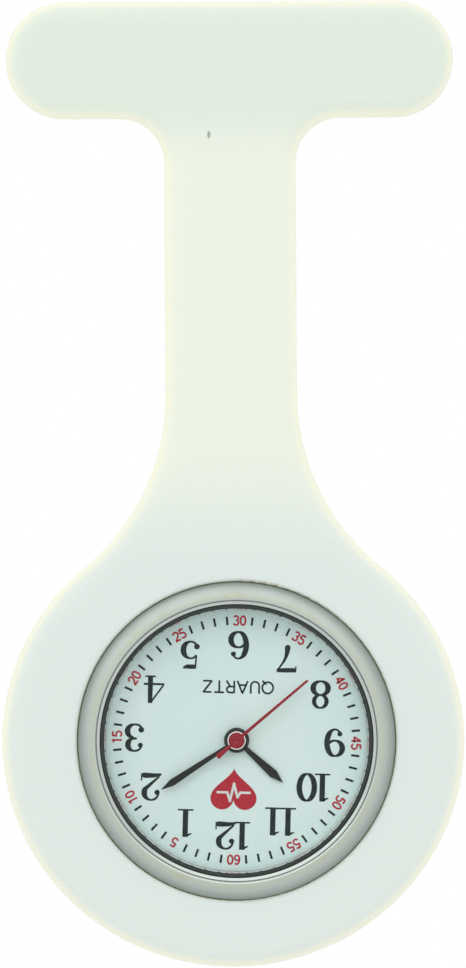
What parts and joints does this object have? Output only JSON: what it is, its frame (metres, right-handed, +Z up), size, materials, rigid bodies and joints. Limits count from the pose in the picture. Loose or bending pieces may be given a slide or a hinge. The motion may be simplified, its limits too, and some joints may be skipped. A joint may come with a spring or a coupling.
{
  "type": "fob watch",
  "caption": "Fob watch worn upside down: a round quartz watch head in a soft holder with a strap and cross bar, hung from a brooch pin with a locking catch.",
  "frame": {"origin": "on the axis of the brooch pin's straight shank, halfway along it", "axes": "+Z up as it hangs when worn, -Y out of the dial towards the viewer, +Y towards the wearer's clothes, +X along the pin towards its point, which is to the right seen from the front"},
  "size_m": [0.0422, 0.0094, 0.088],
  "materials": {
    "silicone": "matt, skin-safe silicone",
    "case_metal": "satin ring with a polished inner bevel",
    "steel": "plain bright steel",
    "mineral_glass": "clear polished mineral glass",
    "gasket": "black rubber",
    "white_plastic": "white moulded plastic",
    "dial_paint": "pale grey-green satin lacquer",
    "plate_brass": "fine satin brass",
    "gear_plastic": "ivory moulded plastic",
    "magnet": "dark sintered magnet on a plastic pinion",
    "soft_iron": "plated soft iron",
    "copper": "enamelled copper wire",
    "board": "green solder mask",
    "resin": "black potting resin",
    "black_paint": "black lacquer",
    "red_paint": "red lacquer"
  },
  "bodies": {
    "holder": {"silicone_holder": "silicone", "brooch_base": "steel", "hinge_rivet": "steel"},
    "pin": {"pin_stem": "steel"},
    "roller": {"catch_roller": "steel"},
    "case": {"case_body": "case_metal", "crown_tube": "steel", "crystal": "mineral_glass", "crystal_gasket": "gasket", "dial_ring": "white_plastic", "dial": "dial_paint", "back_gasket": "gasket", "movement_ring": "white_plastic", "main_plate": "plate_brass", "train_bridge": "plate_brass", "stator": "soft_iron", "coil_core": "soft_iron", "coil_winding": "copper", "circuit_board": "board", "circuit_chip": "resin", "quartz_can": "steel", "battery": "steel", "battery_clamp": "steel", "movement_screws": "steel", "dial_washer": "plate_brass"},
    "cover": {"back_cover": "steel"},
    "yoke": {"clutch_yoke": "steel"},
    "clutch": {"clutch_wheel": "steel"},
    "crown": {"crown": "steel", "winding_stem": "steel", "crown_gasket": "gasket"},
    "lever": {"setting_lever": "steel"},
    "seconds": {"seconds_wheel": "plate_brass", "second_hand": "red_paint"},
    "minutes": {"centre_wheel": "plate_brass", "cannon_pinion": "plate_brass", "minute_hand": "black_paint"},
    "hours": {"hour_wheel": "plate_brass", "hour_hand": "black_paint"},
    "third": {"third_wheel": "plate_brass"},
    "fifth": {"fifth_wheel": "gear_plastic"},
    "rotor": {"rotor": "magnet"},
    "motion": {"minute_wheel": "plate_brass"}
  },
  "joints": [
    {"name": "pin_swing", "type": "hinge", "parent": "holder", "child": "pin", "pos_m": [-0.0128, 0, 0], "axis": [0, 0, 1], "range_deg": [0, 70]},
    {"name": "catch_turn", "type": "hinge", "parent": "holder", "child": "roller", "pos_m": [0.012, 0, 0], "axis": [1, 0, 0], "range_deg": [0, 120]},
    {"name": "head_release", "type": "slide", "parent": "holder", "child": "case", "axis": [0, -1, 0], "range_m": [0, 0.012], "deforming": ["silicone_holder"]},
    {"name": "cover_release", "type": "slide", "parent": "case", "child": "cover", "axis": [0, 1, 0], "range_m": [0, 0.012]},
    {"name": "yoke_shift", "type": "slide", "parent": "case", "child": "yoke", "axis": [1, 0, 0], "range_m": [0, 0.00065]},
    {"name": "crown_turn", "type": "hinge", "parent": "yoke", "child": "clutch", "pos_m": [-0.0065, -0.003, -0.06208], "axis": [-1, 0, 0], "continuous": true},
    {"name": "crown_pull", "type": "slide", "parent": "clutch", "child": "crown", "axis": [-1, 0, 0], "range_m": [0, 0.00165]},
    {"name": "lever_swing", "type": "hinge", "parent": "case", "child": "lever", "pos_m": [-0.0097, -0.00236, -0.05938], "axis": [0, 1, 0], "range_deg": [0, 26.2]},
    {"name": "seconds_turn", "type": "hinge", "parent": "case", "child": "seconds", "pos_m": [0, -0.00187, -0.06208], "axis": [0, 1, 0], "continuous": true},
    {"name": "minutes_turn", "type": "hinge", "parent": "case", "child": "minutes", "pos_m": [0, -0.00307, -0.06208], "axis": [0, 1, 0], "continuous": true},
    {"name": "hours_turn", "type": "hinge", "parent": "case", "child": "hours", "pos_m": [0, -0.00424, -0.06208], "axis": [0, 1, 0], "continuous": true},
    {"name": "third_turn", "type": "hinge", "parent": "case", "child": "third", "pos_m": [0.00216, -0.00211, -0.05992], "axis": [0, 1, 0], "continuous": true},
    {"name": "fifth_turn", "type": "hinge", "parent": "case", "child": "fifth", "pos_m": [0.00056, -0.00267, -0.06497], "axis": [0, 1, 0], "continuous": true},
    {"name": "rotor_turn", "type": "hinge", "parent": "case", "child": "rotor", "pos_m": [0.0009, -0.00267, -0.06673], "axis": [0, 1, 0], "continuous": true},
    {"name": "motion_turn", "type": "hinge", "parent": "case", "child": "motion", "pos_m": [-0.00288, -0.00394, -0.06208], "axis": [0, 1, 0], "continuous": true}
  ],
  "couplings": [
    {"joint": "yoke_shift", "follows": "crown_pull", "ratio": 0.39394},
    {"joint": "lever_swing", "follows": "crown_pull", "rad_per_m": 276.97},
    {"joint": "minutes_turn", "follows": "seconds_turn", "ratio": 0.016667},
    {"joint": "hours_turn", "follows": "seconds_turn", "ratio": 0.0013889},
    {"joint": "third_turn", "follows": "seconds_turn", "ratio": -0.13333},
    {"joint": "fifth_turn", "follows": "seconds_turn", "ratio": -6},
    {"joint": "rotor_turn", "follows": "seconds_turn", "ratio": 30},
    {"joint": "motion_turn", "follows": "seconds_turn", "ratio": -0.0055556}
  ]
}
